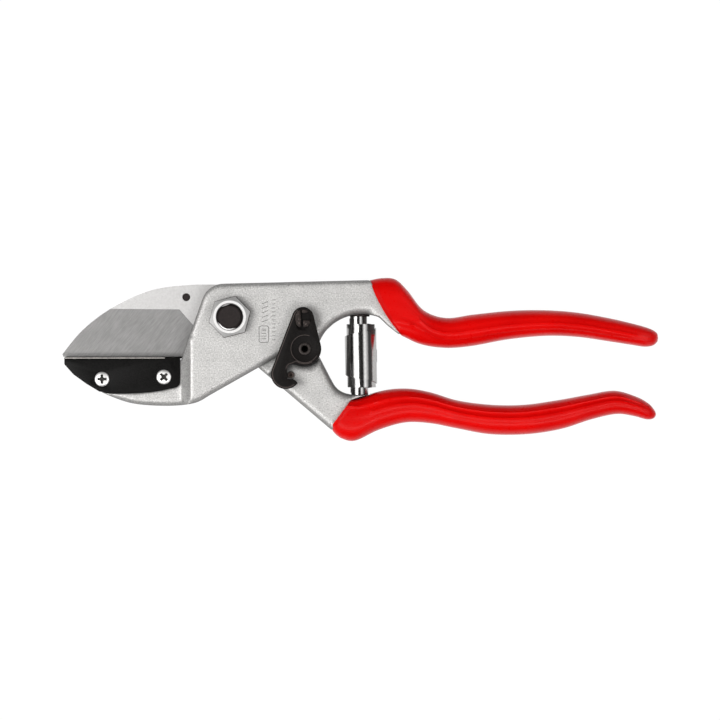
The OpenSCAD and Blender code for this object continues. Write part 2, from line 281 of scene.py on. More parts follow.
def box_at(place, size, turn=0):
    """A plain box used only as a cutter."""
    mesh = bpy.data.meshes.new("cutter")
    work = bmesh.new()
    bmesh.ops.create_cube(work, size=1)
    work.to_mesh(mesh)
    work.free()
    obj = bpy.data.objects.new("cutter", mesh)
    scene.collection.objects.link(obj)
    obj.scale = [s * MM for s in size]
    obj.rotation_euler.z = math.radians(turn)
    obj.location = Vector(place) * MM
    bpy.context.view_layer.update()
    return obj


def cut_out(obj, cutter):
    boolean = obj.modifiers.new("cut", "BOOLEAN")
    boolean.operation = "DIFFERENCE"
    boolean.solver = "EXACT"
    boolean.object = cutter
    apply_modifiers(obj)
    bpy.data.objects.remove(cutter)
    return obj


def raised_line(name, line, half_width, low, high, material, body, closed=False):
    """A flat raised line along a path, as one piece with open ends unless closed."""
    p = np.array(line, float)
    ahead = np.roll(p, -1, 0) - np.roll(p, 1, 0)
    if not closed:
        ahead[0], ahead[-1] = p[1] - p[0], p[-1] - p[-2]
    ahead /= np.maximum(np.linalg.norm(ahead, axis=1, keepdims=True), 1e-9)
    side = np.stack([-ahead[:, 1], ahead[:, 0]], 1) * half_width
    points = []
    for q, s in zip(p, side):
        points += [(*(q - s), low), (*(q - s * 0.8), high), (*(q + s * 0.8), high), (*(q + s), low)]
    n = len(p)
    faces = [
        (4 * k + j, 4 * ((k + 1) % n) + j, 4 * ((k + 1) % n) + (j + 1) % 4, 4 * k + (j + 1) % 4)
        for k in range(n if closed else n - 1)
        for j in range(4)
    ]
    if not closed:
        faces += [(0, 1, 2, 3), (4 * n - 4, 4 * n - 3, 4 * n - 2, 4 * n - 1)]
    obj = outward(piece(name, points, faces, material, None, smooth=False))
    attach(obj, body)
    return obj


def ring_band(name, centre, radius, half_width, low, high, material, body, start=0, end=360):
    """A flat raised line along an arc."""
    steps = max(8, int(abs(end - start) / 6))
    full = abs(end - start) >= 360
    angles = np.radians(np.linspace(start, end, steps + (0 if full else 1), endpoint=not full))
    line = [(centre[0] + radius * math.cos(a), centre[1] + radius * math.sin(a)) for a in angles]
    return raised_line(name, line, half_width, low, high, material, body, closed=full)


def catmull(points, steps):
    """Smooth line through the points, as an array."""
    p = np.array(points, float)
    if p.ndim == 1:
        p = p[:, None]
    p = np.vstack([p[:1], p, p[-1:]])
    t = np.linspace(0, 1, steps, endpoint=False)[:, None]
    rows = []
    for a, b, c, d in zip(p, p[1:], p[2:], p[3:]):
        rows.append(
            0.5
            * (2 * b + (c - a) * t + (2 * a - 5 * b + 4 * c - d) * t**2 + (3 * b - a - 3 * c + d) * t**3)
        )
    return np.vstack([*rows, p[-1:]])


# ---------------------------------------------------------------- materials


SOCKETS = {"shine": "Specular IOR Level"}


class Finish:
    """A material built on one Principled shader, with textures in the object's own place."""

    def __init__(self, name, colour=(0.8, 0.8, 0.8), **values):
        self.material = bpy.data.materials.new(name)
        self.material.use_nodes = True
        self.tree = self.material.node_tree
        self.shader = self.tree.nodes["Principled BSDF"]
        self.shader.inputs["Base Color"].default_value = (*colour, 1)
        for key, value in values.items():
            self.shader.inputs[SOCKETS.get(key, key.title())].default_value = value
        self.place = self.tree.nodes.new("ShaderNodeTexCoord").outputs["Object"]

    def link(self, source, target):
        self.tree.links.new(source, target)

    def turned_place(self, scale, turn=0.0):
        """The object's place, stretched along its axes after a turn about Z."""
        node = self.tree.nodes.new("ShaderNodeMapping")
        node.vector_type = "TEXTURE"
        node.inputs["Rotation"].default_value = (0, 0, math.radians(turn))
        node.inputs["Scale"].default_value = scale
        self.link(self.place, node.inputs["Vector"])
        return node.outputs["Vector"]

    def slope(self):
        """How level the surface is: 1 where it faces up or down and 0 where it is upright."""
        facing = self.tree.nodes.new("ShaderNodeTexCoord")
        split = self.tree.nodes.new("ShaderNodeSeparateXYZ")
        self.link(facing.outputs["Normal"], split.inputs["Vector"])
        node = self.tree.nodes.new("ShaderNodeMath")
        node.operation = "ABSOLUTE"
        self.link(split.outputs["Z"], node.inputs[0])
        return node.outputs[0]

    def noise(self, size, detail=2.0, place=None):
        """Noise with features about size millimetres across."""
        node = self.tree.nodes.new("ShaderNodeTexNoise")
        node.inputs["Scale"].default_value = 1 / (size * MM)
        node.inputs["Detail"].default_value = detail
        self.link(place or self.place, node.inputs["Vector"])
        return node.outputs["Fac"]

    def cells(self, size):
        node = self.tree.nodes.new("ShaderNodeTexVoronoi")
        node.inputs["Scale"].default_value = 1 / (size * MM)
        self.link(self.place, node.inputs["Vector"])
        return node.outputs["Distance"]

    def ramp(self, source, *stops):
        """Colours along a value, from (position, colour or grey) stops."""
        node = self.tree.nodes.new("ShaderNodeValToRGB")
        elements = node.color_ramp.elements
        while len(elements) < len(stops):
            elements.new(0.5)
        for element, (position, colour) in zip(elements, stops):
            if not isinstance(colour, tuple):
                colour = (colour,) * 3
            element.position = position
            element.color = (*colour, 1)
        self.link(source, node.inputs["Fac"])
        return node.outputs["Color"]

    def mix(self, first, second, share=0.5, mode="MIX"):
        node = self.tree.nodes.new("ShaderNodeMix")
        node.data_type = "RGBA"
        node.blend_type = mode
        if isinstance(share, float):
            node.inputs["Factor"].default_value = share
        else:
            self.link(share, node.inputs["Factor"])
        self.link(first, node.inputs[6])
        self.link(second, node.inputs[7])
        return node.outputs[2]

    def bump(self, height, distance, strength=1.0):
        """Relief of distance millimetres."""
        node = self.tree.nodes.new("ShaderNodeBump")
        node.inputs["Strength"].default_value = strength
        node.inputs["Distance"].default_value = distance * MM
        self.link(height, node.inputs["Height"])
        self.link(node.outputs["Normal"], self.shader.inputs["Normal"])

    def colour(self, source):
        self.link(source, self.shader.inputs["Base Color"])

    def roughness(self, source):
        self.link(source, self.shader.inputs["Roughness"])


def forged_aluminium():
    """Blasted forging: pale satin grain and fine dark specks, with steep sides darkened by their slope as
    painted shade.
    """
    finish = Finish("forged_aluminium", metallic=0.55, roughness=0.52)
    grain = finish.noise(0.5, 3)
    mottle = finish.noise(4.5, 4)
    specks = finish.noise(0.9, 2)
    base = finish.ramp(grain, (0.3, (0.38, 0.372, 0.362)), (0.7, (0.68, 0.67, 0.655)))
    broad = finish.ramp(mottle, (0.3, 0.88), (0.7, 1.0))
    dark = finish.ramp(specks, (0.25, 0.55), (0.33, 1.0))
    tone = finish.mix(finish.mix(base, broad, 1.0, "MULTIPLY"), dark, 1.0, "MULTIPLY")
    # The more upright the surface, the darker it is: painted shade on the rims and sides.
    steep = finish.ramp(finish.slope(), (0.0, 0.26), (0.35, 0.42), (0.8, 0.78), (0.97, 1.0))
    finish.colour(finish.mix(tone, steep, 1.0, "MULTIPLY"))
    finish.roughness(finish.ramp(mottle, (0.3, 0.46), (0.7, 0.58)))
    finish.bump(grain, 0.05, 0.45)
    return finish.material


def blade_flat():
    """Polished side of the blade."""
    finish = Finish("blade_flat", metallic=0.6, roughness=0.42)
    fine = finish.noise(0.7, 3)
    finish.colour(finish.ramp(fine, (0.3, (0.54, 0.53, 0.522)), (0.7, (0.61, 0.6, 0.592))))
    finish.roughness(finish.ramp(fine, (0.3, 0.38), (0.7, 0.46)))
    finish.bump(fine, 0.01, 0.3)
    return finish.material


def blade_ground():
    """Ground bevel of the blade: darker, with fine slanted grinding lines."""
    finish = Finish("blade_ground", metallic=0.6, roughness=0.42)
    lines = finish.noise(0.25, 3, finish.turned_place((14, 0.7, 1), 50))
    streaks = finish.noise(0.7, 2, finish.turned_place((16, 1.0, 1), 50))
    broad = finish.noise(5, 3)
    tone = finish.ramp(lines, (0.25, (0.19, 0.187, 0.184)), (0.75, (0.27, 0.265, 0.26)))
    tone = finish.mix(tone, finish.ramp(streaks, (0.35, 0.92), (0.65, 1.04)), 1.0, "MULTIPLY")
    finish.colour(finish.mix(tone, finish.ramp(broad, (0.3, 0.93), (0.7, 1.03)), 1.0, "MULTIPLY"))
    finish.roughness(finish.ramp(lines, (0.3, 0.38), (0.7, 0.5)))
    finish.bump(lines, 0.008, 0.4)
    return finish.material


def red_grip():
    """Dipped red coating, semi-gloss with a faint orange peel."""
    finish = Finish("red_grip", shine=0.13, roughness=0.3)
    peel = finish.noise(1.1, 2)
    broad = finish.noise(14, 2)
    finish.colour(finish.ramp(broad, (0.3, (0.6, 0.0012, 0.001)), (0.7, (0.68, 0.002, 0.0015))))
    finish.roughness(finish.ramp(peel, (0.3, 0.26), (0.7, 0.36)))
    finish.bump(peel, 0.012, 0.2)
    return finish.material


def black_anvil():
    finish = Finish("black_anvil", shine=0.08, roughness=0.4)
    grain = finish.noise(0.5, 3)
    finish.colour(finish.ramp(grain, (0.3, (0.002, 0.0019, 0.0018)), (0.7, (0.006, 0.0056, 0.0052))))
    finish.roughness(finish.ramp(grain, (0.3, 0.36), (0.7, 0.5)))
    finish.bump(grain, 0.02, 0.4)
    return finish.material


def latch_plastic():
    """Moulded plastic with a brown cast and a fine spark-eroded grain."""
    finish = Finish("latch_plastic", shine=0.1, roughness=0.42)
    grain = finish.noise(0.35, 3)
    finish.colour(finish.ramp(grain, (0.3, (0.003, 0.0024, 0.0022)), (0.7, (0.009, 0.0072, 0.0066))))
    finish.roughness(finish.ramp(grain, (0.3, 0.38), (0.7, 0.52)))
    finish.bump(grain, 0.03, 0.5)
    return finish.material


def pad_plastic():
    """Matt thumb pads with rows of fine pips."""
    finish = Finish("pad_plastic", shine=0.15, roughness=0.6)
    pips = finish.cells(0.75)
    # Each pip is coloured lighter at its top, where the bump raises it: painted highlight.
    finish.colour(finish.ramp(pips, (0.18, (0.085, 0.067, 0.06)), (0.4, (0.026, 0.020, 0.018))))
    finish.bump(pips, -0.08, 0.8)
    return finish.material


def bright_metal(name, tone, rough, relief=0.25, steep=((0.0, 0.2), (0.5, 0.5), (0.8, 1.0)), metal=1.0):
    """Plated or polished steel with fine wear, and steep sides darkened by their slope as painted shade."""
    finish = Finish(name, metallic=metal, roughness=rough)
    wear = finish.noise(0.8, 4)
    shade = tuple(tone * s for s in (1.0, 0.985, 0.97))
    dull = tuple(0.88 * s for s in shade)
    worn = finish.ramp(wear, (0.3, dull), (0.65, shade))
    # The slope ramp darkens the steep sides: painted shade standing in for reflection.
    finish.colour(finish.mix(worn, finish.ramp(finish.slope(), *steep), 1.0, "MULTIPLY"))
    finish.roughness(finish.ramp(wear, (0.3, rough * 1.3), (0.7, rough)))
    if relief:
        finish.bump(wear, 0.008, relief)
    return finish.material


def dark_metal(name, colour, rough=0.45):
    """Blackened steel. The same finish also colours the painted shadow, painted shade and painted highlight
    marks below.
    """
    finish = Finish(name, metallic=0.6, roughness=rough)
    wear = finish.noise(0.6, 4)
    pale = tuple(1.9 * c for c in colour)
    finish.colour(finish.ramp(wear, (0.35, colour), (0.75, pale)))
    finish.roughness(finish.ramp(wear, (0.3, rough), (0.7, rough + 0.15)))
    finish.bump(wear, 0.03, 0.4)
    return finish.material


def bronze():
    finish = Finish("bearing_bronze", metallic=1.0, roughness=0.35)
    wear = finish.noise(0.7, 3)
    finish.colour(finish.ramp(wear, (0.3, (0.38, 0.22, 0.08)), (0.7, (0.55, 0.34, 0.14))))
    return finish.material


def floor_white():
    """A lit panel, so that the tool stands on even white without a shadow."""
    finish = Finish("floor_white", (0.02, 0.02, 0.02), shine=0.0, roughness=1.0)
    finish.shader.inputs["Emission Color"].default_value = (1, 1, 1, 1)
    finish.shader.inputs["Emission Strength"].default_value = 1.0
    return finish.material


ALUMINIUM = forged_aluminium()
BLADE_FLAT = blade_flat()
BLADE_GROUND = blade_ground()
RED = red_grip()
ANVIL_BLACK = black_anvil()
LATCH_BLACK = latch_plastic()
PAD = pad_plastic()
# The spring's colour is graded by slope into darker and lighter bands: painted reflection bands.
CHROME = bright_metal(
    "spring_steel", 0.85, 0.15, 0, ((0.0, 0.4), (0.72, 0.6), (0.84, 0.15), (0.92, 0.17), (0.965, 0.3))
)
# The nut's chamfers and sides are darkened by slope: painted shade.
NUT_METAL = bright_metal(
    "bright_nut", 0.86, 0.34, 0.1, ((0.0, 0.2), (0.8, 0.5), (0.9, 0.66), (0.97, 1.0)), 0.45
)
# Dark colour for the thin band round the nut's foot: painted contact shadow.
NUT_SHADE = dark_metal("nut_contact_shadow", (0.055, 0.048, 0.044), 0.6)
SCREW_METAL = bright_metal("bright_screw", 0.95, 0.32, metal=0.7)
WASHER_METAL = bright_metal("washer_steel", 0.6, 0.35)
BOLT_METAL = dark_metal("dark_steel", (0.011, 0.0075, 0.007))
RIVET_METAL = dark_metal("rivet_steel", (0.026, 0.021, 0.019))
BRONZE = bronze()
# Dark colour for the inside of the screw recesses: painted shade.
PAINTED_RECESS_SHADE = dark_metal("screw_recess_shadow", (0.03, 0.028, 0.026), 0.6)
# Pale grey-brown for the strip on the anvil's top edge: painted highlight.
ANVIL_EDGE_HIGHLIGHT = dark_metal("anvil_edge_highlight", (0.35, 0.33, 0.31), 0.5)
STAMPED = dark_metal("stamped_mark", (0.13, 0.127, 0.122), 0.6)
# Lighter brown for the fine lines on the latch's edges: painted highlight.
LATCH_EDGE_HIGHLIGHT = dark_metal("latch_edge_highlight", (0.042, 0.033, 0.03), 0.5)
PIN_METAL = dark_metal("pin_steel", (0.11, 0.085, 0.075))


# ---------------------------------------------------------------- forgings


FORGING_VOXEL = 0.4
# The wall that slopes from the jaw's face up to the head's face
JAW_FACE_Z = 13.4
STEP_FOOT_X = -19.2
STEP_TOP_X = -14.6
# The wall is hollowed below the blade's edge only, and the hollow deepens over a short run
HOLLOW_TOP_Y = -14.8
HOLLOW_RUN = 1.5


def rim_lines(obj):
    """Edges where a level face meets a wall, as [x0, y0, x1, y1, z, up] in millimetres."""
    work = bmesh.new()
    work.from_mesh(obj.data)
    found = []
    for edge in work.edges:
        if len(edge.link_faces) != 2:
            continue
        levels = [f for f in edge.link_faces if abs(f.normal.z) > 0.999]
        if len(levels) != 1 or not edge.is_convex:
            continue
        a, b = (v.co / MM for v in edge.verts)
        found.append([a.x, a.y, b.x, b.y, a.z, math.copysign(1, levels[0].normal.z)])
    work.free()
    return np.array(found)


def round_rims(obj, rims, radius_at):
    """Lowers each point near a rim on to a quarter round of the rim's radius."""
    co = np.array([v.co for v in obj.data.vertices]) / MM
    for x0, y0, x1, y1, level, up in rims:
        radius = radius_at((x0 + x1) / 2, (y0 + y1) / 2, level)
        if radius <= 0:
            continue
        a = np.array([x0, y0])
        along = np.array([x1 - x0, y1 - y0])
        share = np.clip((co[:, :2] - a) @ along / max(along @ along, 1e-9), 0, 1)
        gap = np.linalg.norm(co[:, :2] - a - share[:, None] * along, axis=1)
        height = (co[:, 2] - level) * up
        near = (gap < radius) & (height > -radius) & (height < 0.6)
        drop = radius - np.sqrt(np.maximum(radius**2 - (radius - gap[near]) ** 2, 0))
        co[near, 2] = level + up * np.minimum(height[near], -drop)
    obj.data.vertices.foreach_set("co", (co * MM).ravel())
    obj.data.update()


def hollow_step(obj):
    """Hollows the sloping wall between the jaw and the head, so that it is steepest at its upper edge."""
    co = np.array([v.co for v in obj.data.vertices]) / MM
    share = np.clip((co[:, 0] - STEP_FOOT_X) / (STEP_TOP_X - STEP_FOOT_X), 0, 1)
    hollow = JAW_FACE_Z + (FACE_Z - JAW_FACE_Z) * share**1.35
    amount = np.clip((HOLLOW_TOP_Y - co[:, 1]) / HOLLOW_RUN, 0, 1)
    on = (share > 0) & (share < 1) & (co[:, 2] > JAW_FACE_Z) & (co[:, 2] > hollow)
    co[on, 2] += amount[on] * (hollow[on] - co[on, 2])
    obj.data.vertices.foreach_set("co", (co * MM).ravel())
    obj.data.update()


def forging(node, name, radius_at, body, reshape=None):
    """The CAD forging with its edges rounded over, as a die leaves them."""
    obj = node_copy(node, name)
    flatten_faces(obj)
    rims = rim_lines(obj)
    voxel_remesh(obj, FORGING_VOXEL)
    round_rims(obj, rims, radius_at)
    if reshape:
        reshape(obj)
    voxel_remesh(obj, FORGING_VOXEL)
    relax(obj, 5)
    return finish_piece(obj, ALUMINIUM, body, [node])


def anvil_handle_radius(x, y, level):
    """Edge radius of the anvil handle at a rim point: none where another part seats."""
    in_bolt_hole = math.hypot(x, y) < 7
    in_rivet_hole = math.hypot(x - LATCH_AT.x, y - LATCH_AT.y) < 4
    under_sleeve = x > 52.6 and level > FACE_Z - 1
    on_step_edge = abs(x - STEP_TOP_X) < 0.5 and y < -7.5
    if in_bolt_hole or in_rivet_hole or under_sleeve or on_step_edge:
        return 0.0
    on_front_face = level > FACE_Z - 0.5
    if on_front_face and y > 8:
        return 1.8
    # The spring's ring has the softest edge, and the edge over the blade a tighter one
    if on_front_face and x > 32 and y > -13:
        return 3.2
    if on_front_face:
        return 1.8 if x < -9 and y > -29 else 2.6
    on_jaw_face = level > FACE_Z - 5 and x < -10
    if on_jaw_face:
        on_belly = y < -27.5 and math.hypot(x + 36, y + 5) > 26.5
        return 2.2 if on_belly else 0.5
    return 1.6 if x < 60 else 1.0


def blade_handle_radius(x, y, level):
    """Edge radius of the blade handle at a rim point: none where another part seats."""
    in_bush_hole = math.hypot(x, y) < 8
    in_pin_hole = math.hypot(x - LOCK_PIN_AT.x, y - LOCK_PIN_AT.y) < 1.5
    if in_bush_hole or in_pin_hole:
        return 0.0
    on_tang = x > 70
    if on_tang:
        return 1.0
    # The sleeve's end slants across the handle
    under_sleeve = 7.1 * (y + 42.8) < 11.5 * (x - 38.5) + 9
    if under_sleeve:
        return 0.0
    on_front_face = level > 15
    if on_front_face:
        return 3.0 if y > -30.5 and x > 30 else 2.3
    return 1.2


forging("anvil_handle", "forged_anvil_handle", anvil_handle_radius, ANVIL_SIDE, hollow_step)
forging("blade_handle", "forged_blade_handle", blade_handle_radius, BLADE_SIDE)


# ---------------------------------------------------------------- grips

# Outer edge, inner edge and half depth at stations from the metal to the tip
UPPER_GRIP = [
    ((52.7, 13.9), (64.8, -7.1), 8.9),
    ((57.5, 14.76), (66.5, -7.9), 8.7),
    ((62.4, 14.2), (70, -9.6), 8.4),
    ((66.9, 10), (74.1, -10.8), 8.2),
    ((73, 2.6), (79, -11.5), 8.1),
    ((81.4, -0.3), (84.5, -11.6), 8.3),
    ((92, 1), (92.5, -10.7), 8.6),
    ((106, 2.4), (105, -8.4), 8.9),
    ((119, 2.6), (119, -7.1), 8.9),
    ((131, 1.7), (131.2, -7.5), 8.6),
    ((143, -0.4), (142.5, -9.1), 8.1),
    ((152.5, -2.6), (151.5, -10.5), 7.4),
    ((158.2, -4.3), (156.5, -11.2), 6.3),
    ((160.9, -5.9), (159.6, -10.7), 4.4),
    ((161.5, -7.6), (161.2, -9.3), 1.6),
]
LOWER_GRIP = [
    ((38.2, -41.0), (45.6, -31.2), 8.9),
    ((38.9, -43.3), (48, -30.8), 8.8),
    ((42.2, -45.9), (51, -29.8), 8.6),
    ((47.4, -46.6), (55.5, -28.2), 8.4),
    ((56, -42.6), (61.7, -27.1), 8.2),
    ((66, -39.8), (68.5, -27.1), 8.2),
    ((75.5, -40.1), (76, -28.5), 8.3),
    ((85.5, -42), (86, -31.5), 8.6),
    ((98, -44.2), (98.6, -33.1), 8.9),
    ((112, -44.2), (111, -33.1), 8.9),
    ((125, -42.2), (124, -31.3), 8.6),
    ((136, -38.7), (135, -29.3), 8.1),
    ((145.5, -36.6), (145, -27.8), 7.6),
    ((152, -37.3), (153.2, -30), 6.8),
    ((157, -38.6), (158, -32.7), 5.4),
    ((159.4, -38.4), (160.2, -35.3), 3.4),
    ((160.4, -37.6), (160.7, -36.6), 1.4),
]
GRIP_SIDES = 72
# Place across the sleeve from -1 (outer edge) to 1 (inner edge), height and width of each soft ridge
UPPER_RIDGES = [(0.42, 0.7, 0.09), (0.02, 0.5, 0.1)]
LOWER_RIDGES = [(0.55, 0.6, 0.08), (0.16, 0.6, 0.1)]
FRONT_DROP = 0.3
# The section is squarish at the metal and rounder along the sleeve: powers of the cosine and sine
SQUARE_POWER, ROUND_GAIN, ROUND_RUN = 0.5, 0.26, 14
LIP_LENGTH = 0.9
LIP_HEIGHT = 0.5
# How far the sleeve's end bows towards the metal, and the run in which the bow and the ridges fade
GRIP_BOW = 1.4
BOW_RUN = 9
TIP_RUN = 12


def grip(name, stations, ridges, body, node, bow):
    """Sleeve lofted along its two edges, with soft lengthwise ridges and a lip at the metal."""
    outer = catmull([s[0] for s in stations], 10)
    inner = catmull([s[1] for s in stations], 10)
    depth = catmull([s[2] for s in stations], 10)[:, 0]
    travel = np.concatenate(
        [[0], np.cumsum(np.linalg.norm(np.diff((outer + inner) / 2, axis=0), axis=1))]
    )
    angles = 2 * np.pi * np.arange(GRIP_SIDES) / GRIP_SIDES
    c, s = np.cos(angles), np.sin(angles)
    rings = []
    for o, i, d, run in zip(outer, inner, depth, travel):
        square = SQUARE_POWER + ROUND_GAIN * min(run / ROUND_RUN, 1)
        u = np.sign(c) * np.abs(c) ** square
        w = np.sign(s) * np.abs(s) ** square
        fade = min(1, (travel[-1] - run) / TIP_RUN)
        ridge = sum(high * np.exp(-(((u - at) / wide) ** 2)) for at, high, wide in ridges)
        lip = LIP_HEIGHT * math.exp(-((run / LIP_LENGTH) ** 2))
        swell = ridge * fade * np.maximum(w, 0) ** 2
        x = (o + i)[0] / 2 + (i - o)[0] / 2 * u
        y = (o + i)[1] / 2 + (i - o)[1] / 2 * u
        side = (i - o) / np.linalg.norm(i - o)
        back = np.outer([side[1], -side[0]], bow * (1 - u**2) * max(0, 1 - run / BOW_RUN))
        height = np.where(w > 0, d - FRONT_DROP * fade + swell + lip, d)
        rings.append(
            np.stack([x + back[0], y + back[1], GRIP_Z + w * height], axis=1)
        )
    rings = [*grip_mouth(rings), *rings]
    count = len(rings)
    faces = [
        (
            r * GRIP_SIDES + k,
            r * GRIP_SIDES + (k + 1) % GRIP_SIDES,
            (r + 1) * GRIP_SIDES + (k + 1) % GRIP_SIDES,
            (r + 1) * GRIP_SIDES + k,
        )
        for r in range(count - 1)
        for k in range(GRIP_SIDES)
    ]
    faces.append(tuple(range(GRIP_SIDES)))
    faces.append(tuple(range((count - 1) * GRIP_SIDES, count * GRIP_SIDES)))
    obj = piece(name, np.vstack(rings), faces, RED, None)
    work = bmesh.new()
    work.from_mesh(obj.data)
    bmesh.ops.recalc_face_normals(work, faces=work.faces)
    work.to_mesh(obj.data)
    work.free()
    smooth_by_angle(obj, 50)
    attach(obj, body)
    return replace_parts(obj, node)


def grip_mouth(rings):
    """Rings that turn the sleeve's edge in, so that it ends in a soft roll against the metal."""
    first = rings[0]
    centre = first.mean(0)
    forward = (rings[3].mean(0) - centre) / np.linalg.norm(rings[3].mean(0) - centre)
    made = []
    for inset, ahead in ((0.9, 0.35), (0.45, 0.05)):
        out = first - centre
        length = np.linalg.norm(out, axis=1, keepdims=True)
        made.append(first - out / length * inset + forward * ahead)
    return made


grip("red_upper_grip", UPPER_GRIP, UPPER_RIDGES, ANVIL_SIDE, "upper_grip", GRIP_BOW)
grip("red_lower_grip", LOWER_GRIP, LOWER_RIDGES, BLADE_SIDE, "lower_grip", 0)


# ---------------------------------------------------------------- blade and anvil


BLADE_BACK = [(-63.4, -14), (-55.7, -4.9), (-44.7, 3.4), (-30.1, 10), (-15.6, 12.1), (-3, 12.2)]
EDGE_Y = -15.0
BEVEL_TOP_Y = 3.3
BLADE_HUB_R = 12.2
EDGE_HALF_THICKNESS = 0.07


def cutting_blade():
    """Blade with a fine back curve, ground on both sides to a thin edge."""
    low, high = bottom("cutting_blade"), top("cutting_blade")
    mid = (low + high) / 2
    back = [tuple(p) for p in catmull(BLADE_BACK, 14)]
    hub = arc(0, 0, BLADE_HUB_R, 80, -128, 40)
    outline = [(-63.0, EDGE_Y), *back, *hub, (-9, -12), (-18.4, EDGE_Y)]
    obj = prism("ground_blade", outline, low, high)
    # A wedge on each side cuts the bevel
    for side in (1, -1):
        points = []
        for x, y in ((-70, BEVEL_TOP_Y), (-19.2, BEVEL_TOP_Y - 0.4), (-9, -8.7), (-9, -20), (-70, -20)):
            share = (BEVEL_TOP_Y - y) / (BEVEL_TOP_Y - EDGE_Y)
            slant = (high - mid) - (high - mid - EDGE_HALF_THICKNESS) * share
            points += [(x, y, mid + side * slant), (x, y, mid + side * 4)]
        n = len(points)
        faces = [tuple(range(0, n, 2)), tuple(range(1, n, 2))]
        faces += [(k, (k + 2) % n, (k + 3) % n, k + 1) for k in range(0, n, 2)]
        cut_out(obj, outward(piece("cutter", points, faces, None, None)))
    for place, radius in (((0, 0), 6.0), ((middle("blade_pin").x, middle("blade_pin").y), 1.5)):
        cut_out(obj, prism("cutter", arc(*place, radius, 0, 357, 64), low - 1, high + 1))
    obj.data.materials.clear()
    obj.data.materials.append(BLADE_FLAT)
    obj.data.materials.append(BLADE_GROUND)
    for polygon in obj.data.polygons:
        polygon.material_index = int(0.9 < abs(polygon.normal.z) < 0.9995)
    smooth_by_angle(obj, 2)
    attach(obj, BLADE_SIDE)
    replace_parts(obj, "cutting_blade")
    return obj


def anvil_plate():
    """Plastic anvil with softened edges and sinks for the screws. A black ledge under the blade's edge
    darkens the gap there as painted shade, and a pale strip on its top edge is a painted highlight.
    """
    obj = flatten_faces(node_copy("anvil_blade", "black_anvil_plate"))
    bevelled(obj, 0.3, 3, 40)
    high, low = top("anvil_blade"), bottom("anvil_blade")
    x, y, _ = SCREWS_AT[1]
    cut_out(obj, prism("cutter", arc(x, y, 4.0, 0, 355, 60), high - 0.25, high + 1))
    smooth_by_angle(obj)
    finish_piece(obj, ANVIL_BLACK, ANVIL_SIDE, ["anvil_blade"], smooth=True)
    # A black ledge under the blade's edge, so that the gap there shows dark: painted shade.
    ledge = prism(
        "anvil_gap_shade_ledge", [(-62.4, -15.6), (-17.6, -15.6), (-17.6, -14.8), (-62.4, -14.8)], low + 0.2, low + 2.5
    )
    finish_piece(ledge, ANVIL_BLACK, ANVIL_SIDE, [], smooth=False)
    # A pale strip along the anvil's top edge: painted highlight on its chamfer.
    strip = [(-62.2, -15.62), (-24.6, -15.57), (-24.6, -15.3), (-62.2, -15.3)]
    lip = prism("anvil_highlight_strip", strip, high - 0.1, high + 0.02)
    finish_piece(lip, ANVIL_EDGE_HIGHLIGHT, ANVIL_SIDE, [], smooth=False)


def cross_screw(name, x, y, turn, *stands_for):
    """Pan head screw with a cross recess."""
    r = 2.85
    high = top("anvil_screws")
    low = high - 1.5
    head = [
        (0, low), (r, low), (r, high - 0.75), (r - 0.12, high - 0.42), (r - 0.45, high - 0.16),
        (r - 1.0, high - 0.04), (0, high),
    ]
    obj = turned(name, head, (x, y, 0), SCREW_METAL, ANVIL_SIDE, *stands_for)
    for extra in (0, 90):
        cut_out(obj, box_at((x, y, high), (3.5, 0.95, 1.9), turn + extra))
    cut_out(obj, box_at((x, y, high), (1.8, 1.8, 1.9), turn + 45))
    # Faces inside the cross recess get the dark colour: painted shade.
    obj.data.materials.append(PAINTED_RECESS_SHADE)
    for polygon in obj.data.polygons:
        away = math.hypot(polygon.center.x / MM - x, polygon.center.y / MM - y)
        in_recess_shade = low + 0.05 < polygon.center.z / MM < high - 0.2
        polygon.material_index = int(in_recess_shade and away < 1.82)
    return smooth_by_angle(obj)


cutting_blade()
anvil_plate()
cross_screw("anvil_screw_front", *SCREWS_AT[0], "anvil_screws")
cross_screw("anvil_screw_back", *SCREWS_AT[1], "anvil_screws")


# ---------------------------------------------------------------- pivot


def pivot_nut():
    """Hexagon nut: a flat ring on top, chamfered corners and a countersunk bore."""
    low, high = bottom("pivot_nut"), top("pivot_nut")
    flat, flat_ring, bore = 13.8 / 2, 6.15, 5.0
    corner_angle = 14.5
    fall = math.tan(math.radians(32))
    angles = [corner_angle + 60 * k + t for k in range(6) for t in np.linspace(0, 60, 13)[:-1]]
    rings = [[], [], [], [], [], [], []]
    for angle in angles:
        a = math.radians(angle)
        reach = flat / math.cos(math.radians((angle - corner_angle) % 60 - 30))
        shoulder = high - (reach - flat_ring) * fall
        spots = (
            (reach, low), (reach, shoulder), (flat_ring, high), (bore + 0.22, high), (bore, high - 0.25),
            (bore, high - 2), (bore, low),
        )
        for ring, (r, z) in zip(rings, spots):
            ring.append((r * math.cos(a), r * math.sin(a), z))
    count = len(angles)
    faces = [
        (
            r * count + k,
            r * count + (k + 1) % count,
            (r + 1) % len(rings) * count + (k + 1) % count,
            (r + 1) % len(rings) * count + k,
        )
        for r in range(len(rings))
        for k in range(count)
    ]
    obj = outward(piece("hexagon_nut", [p for ring in rings for p in ring], faces, NUT_METAL, None))
    smooth_by_angle(obj, 20)
    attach(obj, ANVIL_SIDE)
    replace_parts(obj, "pivot_nut")
    # A thin dark band round the nut's foot: painted contact shadow where the nut meets the handle.
    shadow_ring = [(1.014 * x, 1.014 * y) for x, y, _ in rings[0]]
    raised_line("nut_contact_shadow_line", shadow_ring, 0.13, low - 0.05, low + 0.06, NUT_SHADE, ANVIL_SIDE, closed=True)


